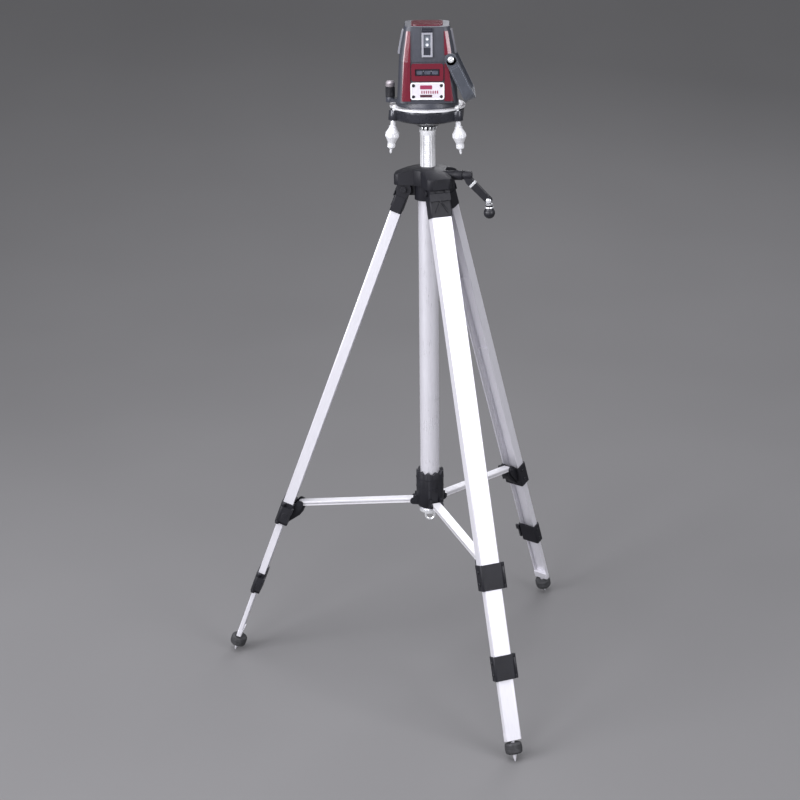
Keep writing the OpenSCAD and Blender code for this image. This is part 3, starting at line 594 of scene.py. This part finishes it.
LEG_FINISHES = {
    "leg_top": casting, "upper_clamp": casting, "lower_clamp": casting, "upper_lever": lever_black,
    "lower_lever": lever_black, "foot": foot_rubber, "strut": strut_alloy,
}
NODE_FINISHES = {
    "shoulder": casting, "spreader_hub": casting, "crank_arm": casting, "crank_grip": lever_black,
    "guide_tube": tube_alloy, "pivot_bolts": lever_black, "end_hook": chrome, "centre_column": column_silver,
    "lock_ring": chrome, "crank_shaft": chrome, "grip_spindle": chrome, "base_frame": base_black,
    "dial_ring": ring_silver, "turntable": housing_grey, "fine_knob": lever_black,
    "lower_housing": housing_grey, "upper_housing": housing_grey, "red_trim": trim_red,
    "control_key": panel_dark, "front_plate": plate_silver, "windows": window_grey,
    "gimbal_ring": brass, "pendulum": brass, "battery_pack": cell_sleeve, "battery_door": housing_grey,
    "circuit_board": board_green, "left_level_screw": screw_silver, "right_level_screw": screw_silver,
    "rear_level_screw": screw_silver,
}
NODE_FINISHES |= {f"{leg}_{part}": finish for leg in LEGS for part, finish in LEG_FINISHES.items()}
TUBES = ("upper_tube", "middle_tube", "lower_tube")
NODE_FINISHES |= {f"{leg}_{tube}": LEG_ALLOY[leg] for leg in LEGS for tube in TUBES}
EDGE_MM = {
    "shoulder": 0.8, "spreader_hub": 0.6, "crank_arm": 1.2, "turntable": 0.5, "base_frame": 0.8,
    "lower_housing": 0.5, "upper_housing": 0.5, "battery_door": 0.4, "control_key": 0.6, "front_plate": 0.4,
    "windows": 0.5, "red_trim": 0.5, "lock_ring": 0.4, "circuit_board": 0.2,
}
LEG_EDGE_MM = {"leg_top": 0.8, "upper_clamp": 0.8, "lower_clamp": 0.8, "upper_lever": 0.6, "lower_lever": 0.6,
               "strut": 0.6, "upper_tube": 0.3, "middle_tube": 0.3, "lower_tube": 0.3}
EDGE_MM |= {f"{leg}_{part}": width for leg in LEGS for part, width in LEG_EDGE_MM.items()}


def dress_frame():
    """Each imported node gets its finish; castings and housings also get rounded edges."""
    for name, node in frame["nodes"].items():
        finish = NODE_FINISHES.get(name)
        if finish is None:
            continue
        node.data.materials.clear()
        node.data.materials.append(finish)
        if name in EDGE_MM:
            weld = node.modifiers.new("weld", "WELD")
            weld.merge_threshold = 0.002 * MM
            round_edges(node, EDGE_MM[name])


# ---- Added pieces ----

# How far down the leg each clamp is, and the half width of its collar
CLAMPS = {"upper": (625.5, 19.5), "lower": (774.0, 18.0)}
CLAMP_SCREW_X = {"upper": 0.0, "lower": 1.5}
LEVER_RIBS_X = {"upper": -2.0, "lower": -1.0}
LEVER_FACE = 3.1


def add_strap():
    """Webbing band in a U, with rounded ends around the posts, hems and stitching."""
    place = strap_frame()
    side, low, corner, width, thick = 49.2, -71.2, 9.0, 18.6, 2.0
    path = [(0, -side, 1.0), (0, -side, -20), (0, -side, -40)]
    for k in range(9):
        a = math.radians(90 * k / 8)
        path.append((0, -side + corner * (1 - math.cos(a)), low + corner * (1 - math.sin(a))))
    path += [(0, y, low) for y in (-24, -8, 8, 24)]
    path += [(x, -y, z) for x, y, z in reversed(path[:12])]
    section = outline_rounded(width, thick, 0.8, 3)
    hem = outline_rounded(1.6, thick + 0.7, 0.5, 2)
    bands = [sweep(path, section, place)]
    for edge in (-1, 1):
        bands.append(sweep(path, [(u + edge * (width / 2 - 0.9), v) for u, v in hem], place))
    for y in (-1, 1):
        bands.append(prism(outline_circle(width / 2, 40), side - thick / 2, side + thick / 2,
                           sideways(y, place)))
    strap = build("strap_webbing", "strap", strap_weave, bands, bevel=0.3)
    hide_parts("carry_strap")
    stitches, stitch_low, stitch_high = [], side + 0.9, side + 1.35
    for y in (-1, 1):
        face = sideways(y, place)
        for row in (-7.0, 7.0):
            stitches += [slab(0.6, 2.0, 0.25, stitch_low, stitch_high, face, row, y * (14 + 3.4 * k))
                         for k in range(13)]
        for row in (12.0, 15.0):
            stitches += [slab(2.0, 0.6, 0.25, stitch_low, stitch_high, face, -6 + 3 * k, y * row)
                         for k in range(5)]
    build("strap_stitches", "strap", thread, stitches)


def add_strap_buttons():
    """Domed metal buttons outside the strap's ends."""
    pivot = Vector(JOINTS["strap_swing"]["pos_m"])
    profile = [(0, 50.0), (4.8, 50.0), (5.0, 50.8), (4.4, 52.2), (2.6, 53.0), (1.4, 53.0), (1.2, 52.6),
               (0, 52.6)]
    parts = [lathe(profile, sideways(y, Matrix.Translation(pivot)), 32) for y in (-1, 1)]
    build("strap_buttons", "laser", chrome, parts)


def add_front_plate():
    """Raised rim, plain printed bars and four corner screws."""
    face = front_frame("front_plate") @ OUTWARD
    foot, print_top = 0.9, 1.25
    outer, inner = outline_rounded(53, 26.6, 3.5), outline_rounded(49.6, 23.2, 2.2)
    rim = ring(outer, inner, foot, 1.6, face)
    build("plate_rim", "laser", print_white, [rim], bevel=0.25)
    marks = [slab(19, 6.2, 0.8, foot, print_top, face, -2, 6.0)]
    marks += [slab(1.7, 4.6, 0.5, foot, print_top, face, -8.6 + 3.5 * k, -1.6) for k in range(8)]
    build("plate_marks", "laser", print_red, marks, bevel=0.08)
    bar = slab(19, 4.0, 0.8, foot, print_top, face, -2, -7.6)
    build("plate_bar", "laser", print_dark, [bar], bevel=0.08)
    heads = []
    for x, slot_deg in ((-21.825, -90), (21.825, 90)):
        for y in (-8.649, 8.649):
            spot = face @ shifted(x, y)
            heads.append(lathe([(0, 0.6), (2.5, 0.6), (2.5, 1.4), (1.7, 2.0), (0, 2.0)], spot, 24))
            turn = Matrix.Rotation(math.radians(slot_deg), 4, "Z")
            heads.append(slab(2.6, 0.5, 0.1, 1.9, 2.15, spot @ turn))
    build("plate_screws", "laser", lever_black, heads)


def add_panel():
    """Three keys with a raised line each, and two lamps between them."""
    face = front_frame("control_key") @ OUTWARD
    pitch, y = 12.2, -0.4
    keys = [slab(9.4, 5.6, 1.6, 2.2, 3.3, face, x, y) for x in (-pitch, 0, pitch)]
    keys += [slab(4.2, 0.9, 0.4, 3.2, 3.5, face, x, y) for x in (-pitch, 0, pitch)]
    build("panel_keys", "control_key", key_rubber, keys, bevel=0.35)
    lamps = [lathe([(0, 2.3), (0.9, 2.3), (0.85, 2.9), (0.5, 3.2), (0, 3.3)], face @ shifted(x, 1.8), 16)
             for x in (-pitch / 2, pitch / 2)]
    build("panel_lamps", "control_key", lamp_lens, lamps)


def add_windows():
    """Glass, lower shade and two lens rims in each window, and a hood above the front one."""
    for side in WINDOW_SIDES:
        face = window_face(side)
        build(side + "_window_glass", "laser", grey_glass,
              [slab(11.2, 19.2, 0.6, 0.2, 1.0, face, 0, 6)], bevel=0.2)
        build(side + "_window_shade", "laser", dark_glass,
              [slab(11.2, 12.0, 0.6, 0.2, 1.5, face, 0, -9.8)], bevel=0.3)
        profile = [(0, 0.8), (2.2, 0.8), (2.2, 1.7), (1.8, 2.1), (1.5, 1.5), (0, 1.4)]
        lenses = [lathe(profile, face @ shifted(0, y), 28) for y in (0.2, 9.2)]
        build(side + "_window_lenses", "laser", chrome, lenses)
    face = window_face("front")
    hood = [slab(18, 7.6, 1.2, -1.0, 2.2, face, 0, 23.2)]
    hood += [slab(13, 1.0, 0.4, 2.0, 2.6, face, 0, y) for y in (24.6, 22.0)]
    build("front_hood", "laser", panel_dark, hood, bevel=0.4)


def add_dial():
    """Divisions every 3 degrees, left out at the levelling screws, and the turntable's index dot."""
    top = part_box("dial_ring")[1].z / MM
    edge = 59.2
    marks = []
    for k in range(120):
        angle = 3 * k
        if any(abs((angle - screw + 180) % 360 - 180) < 7 for screw in LEVEL_SCREW_DEG):
            continue
        length, width = ((6.5, 0.7) if k % 10 == 0 else (4.6, 0.5) if k % 5 == 0 else (3.0, 0.4))
        turn = Matrix.Rotation(math.radians(angle), 4, "Z")
        marks.append(slab(length, width, 0.1, top - 0.1, top + 0.08, turn, edge - length / 2))
    build("dial_marks", "column", print_dark, marks)
    middle = Matrix.Translation((0, -0.0492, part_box("turntable")[0].z + 0.0011))
    build("index_dot", "laser", print_white,
          [lathe([(0, -0.6), (1.7, -0.6), (1.7, 0.9), (1.2, 1.3), (0, 1.4)], middle @ OUTWARD, 24)])


def add_column_flute_shade():
    """Painted shade: dark grey strips laid in the flutes of the centre column, where shade falls."""
    low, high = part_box("centre_column")
    length, middle = (high.z - low.z) / MM - 24, (high.z + low.z) / 2 / MM + 4
    turn = JOINTS["crank_turn"]["axis"]
    start, flutes = math.atan2(turn[1], turn[0]) - math.radians(90), 14
    lines = []
    for k in range(1, flutes):
        spin = Matrix.Rotation(start + 2 * math.pi * k / flutes, 4, "Z")
        outward = spin @ Matrix.Rotation(math.radians(90), 4, "Y")
        # each strip is painted shade in one flute
        lines.append(slab(length, 1.0, 0.4, 11.4, 11.95, outward, -middle))
    build("column_flute_shade", "column", painted_flute_shade, lines)


def add_lock_ring_core():
    """Dark sleeve that shows between the teeth of the lock ring."""
    foot = JOINTS["lock_ring_turn"]["pos_m"][2] / MM
    sleeve = lathe([(8.4, foot - 2.6), (9.6, foot - 2.6), (9.6, foot + 2.6), (8.4, foot + 2.6)])
    build("lock_ring_core", "lock_ring", lever_black, [sleeve])


def add_levelling_knurls():
    """Ribs around the wheel and the tip of each levelling screw, and a bead around its neck."""
    for side in ("left", "right", "rear"):
        place = screw_frame(side)
        parts = [prism(outline_ribbed(10.9, 0.5, 26), -31.4, -25.6, place),
                 prism(outline_ribbed(6.3, 0.4, 18), -48.4, -43.6, place),
                 lathe([(4.0, -16.0), (6.1, -16.0), (6.4, -15.2), (6.1, -14.4), (4.0, -14.4)], place, 32)]
        build(side + "_screw_knurls", side + "_level_screw", screw_silver, parts, bevel=0.15)


def add_knob_cap():
    """Metal cap with a centre mark on the fine-adjust knob."""
    pivot = JOINTS["fine_turn"]["pos_m"]
    top = Matrix.Translation((pivot[0], pivot[1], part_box("fine_knob")[1].z))
    cap = lathe([(0, 0.3), (5.4, 0.3), (7.2, -2.4), (7.3, -7.2), (6.4, -8.8), (0, -8.8)], top, 36)
    dimple = lathe([(0, 0.5), (2.2, 0.5), (2.6, 0.2), (2.6, 0.0), (0, 0.0)], top, 24)
    build("fine_knob_cap", "fine_knob", knob_grey, [cap, dimple], bevel=0.3)


def add_seam():
    """Dark gasket line where the two shells of the housing meet."""
    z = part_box("lower_housing")[1].z / MM
    outer, inner = outline_rounded(89.5, 89.5, 14.2, 8), outline_rounded(87.5, 87.5, 13.2, 8)
    gasket = ring(outer, inner, z - 0.25, z + 0.45)
    build("housing_seam", "laser", lever_black, [gasket], bevel=0.1)


def add_door_details():
    """Finger ribs and a latch on the battery door, which leans with the rear face."""
    swing = Vector(JOINTS["door_swing"]["pos_m"])
    lean = math.atan2(3.4, 64)
    back = axes((-1, 0, 0), (0, math.cos(lean), math.sin(lean)), swing)
    ribs = [slab(16, 1.4, 0.6, 0.9, 1.8, back, 0, 34 + 2.4 * k) for k in range(4)]
    build("door_ribs", "battery_door", housing_grey, ribs, bevel=0.3)
    latch = [slab(13, 4.4, 1.6, 0.9, 2.2, back, 0, 29)]
    build("door_latch", "battery_door", lever_black, latch, bevel=0.5)


def add_leg_details(leg):
    """Small parts on a leg's pivot, clamps, levers and foot."""
    place = leg_frame(leg)
    side = sideways(-1, place)
    # Rims around the sockets of the pivot bolt
    sockets = [ring(outline_circle(4.4, 24), outline_circle(2.6, 24), 20.2, 20.9, sideways(y, place))
               for y in (-1, 1)]
    build(leg + "_bolt_rims", "tripod", lever_black, sockets, bevel=0.15)
    # Clamp screws on the side away from the lever
    for part, (s, half) in CLAMPS.items():
        head = ((0, -0.5), (3.4, -0.5), (3.4, 0.9), (2.8, 1.5), (1.8, 1.5), (1.8, 0.6), (0, 0.6))
        profile = [(r, half + rise) for r, rise in head]
        spots = [lathe(profile, side @ shifted(CLAMP_SCREW_X[part], -s + drop), 24) for drop in (-10, 10)]
        build(f"{leg}_{part}_clamp_screws", f"{leg}_leg" if part == "upper" else f"{leg}_middle",
              lever_black, spots, bevel=0.15)
    # Ribs on the lever plates
    for part, (s, half) in CLAMPS.items():
        face = sideways(1, place @ shifted(0, 0, -s))
        low = half + LEVER_FACE + 1.4
        ribs = [slab(9, 1.3, 0.6, low, low + 0.9, face, LEVER_RIBS_X[part], y) for y in (-3, 0, 3, 6)]
        lever = f"{leg}_{part}_lever"
        build(lever + "_ribs", lever, lever_black, ribs, bevel=0.3)
    # Web across the front of the fitting, over the hinge barrel
    web = slab(36.2, 13.0, 2.0, 10.9, 12.9, place @ axes((0, 1, 0), (1, 0, 0)), 0, -9.0)
    build(leg + "_fitting_web", leg + "_leg", casting, [web], bevel=0.8)
    # Web between the ears, under the strut's eye
    lug = Vector((-19, -602))
    corners = ((8, -6.5), (-1.5, -6.0), (-9, -3.5), (-10.5, -9), (-7, -20), (8, -41))
    outline = [lug + Vector(corner) for corner in corners]
    web = prism(outline, -7.8, 7.8, side)
    build(leg + "_clamp_web", leg + "_leg", casting, [web], bevel=0.8)
    # Rings around the foot
    bead = ((13.2, -0.9), (14.3, -0.7), (14.45, 0), (14.3, 0.7), (13.2, 0.9))
    rings = [lathe([(r, z + rise) for r, rise in bead], place, 40) for z in (-904.5, -907.5)]
    build(leg + "_foot_rings", leg + "_foot", foot_rubber, rings)


def add_strut_groove(leg):
    """Painted shade: a dark strip down the middle of a strut, between two raised lips, standing for the shade
    in the groove.
    """
    place = strut_frame(leg)
    middle, face = 101.4, 3.6
    # Painted shade: a thin black strip on the strut's face, where the groove between the lips would be in
    # shade
    line = [slab(174, 1.5, 0.6, face, face + 0.25, place, middle)]
    build(leg + "_strut_groove_shade", leg + "_strut", lever_black, line)
    lips = [slab(176, 1.0, 0.4, face, face + 0.55, place, middle, y) for y in (-6.4, 6.4)]
    build(leg + "_strut_lips", leg + "_strut", strut_alloy, lips, bevel=0.2)


def add_crank_details():
    """Cap on the shaft's end, band and washers on the arm, and a ring at the neck of the grip."""
    place = crank_frame()
    along = place @ Matrix.Rotation(math.radians(90), 4, "Y")
    cap = lathe([(0, 72.6), (5.4, 72.6), (5.4, 73.6), (4.6, 74.4), (0, 74.6)], along, 32)
    build("crank_cap", "crank", lever_black, [cap], bevel=0.2)
    # Band around the upper end of the arm
    arm = place @ shifted(*ARM_START) @ axes((0, 1, 0), (1, 0, -1))
    outer, inner = outline_rounded(11.8, 12.7, 1.6), outline_rounded(10.2, 11.0, 1.2)
    build("crank_band", "crank", chrome, [ring(outer, inner, 5.2, 9.2, arm)], bevel=0.2)
    fork = place @ shifted(*ARM_END)
    profile = [(0, 5.3), (4.2, 5.3), (4.2, 6.2), (3.2, 6.8), (0, 6.8)]
    washers = [lathe(profile, sideways(y, fork), 28) for y in (-1, 1)]
    build("crank_washers", "crank", chrome, washers, bevel=0.15)
    grip = grip_frame()
    collar = lathe([(5.6, -12.6), (6.9, -12.4), (7.0, -11.2), (6.6, -10.4), (5.6, -10.4)], grip, 36)
    build("grip_ring", "grip", chrome, [collar])


def add_hub_band():
    """Two beads around the spreader hub."""
    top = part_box("spreader_hub")[1].z / MM
    inner, outer = 22.8, 24.0
    bands = [lathe([(inner, z - 1.0), (outer, z - 0.8), (outer, z + 0.8), (inner, z + 1.0)])
             for z in (top - 13, top - 30)]
    build("hub_bands", "spreader", casting, bands)


def add_housing_screws():
    """Four screws in the rear face."""
    profile = [(0, 0.2), (2.6, 0.2), (2.6, 2.2), (2.0, 2.7), (1.3, 2.7), (1.3, 2.0), (0, 2.0)]
    heads = [lathe(profile, sideways(1, shifted(x, y, z)), 24)
             for x in (-33, 33) for z, y in ((1030, 47.2), (1070, 45.0))]
    build("rear_screws", "laser", lever_black, heads)


# ---- Scene ----

make_camera()
make_studio()
make_floor()
dress_frame()
add_strap()
add_strap_buttons()
add_front_plate()
add_panel()
add_windows()
add_dial()
add_column_flute_shade()
add_lock_ring_core()
add_levelling_knurls()
add_knob_cap()
add_seam()
add_door_details()
add_housing_screws()
add_crank_details()
add_hub_band()
for leg in LEGS:
    add_leg_details(leg)
    add_strut_groove(leg)
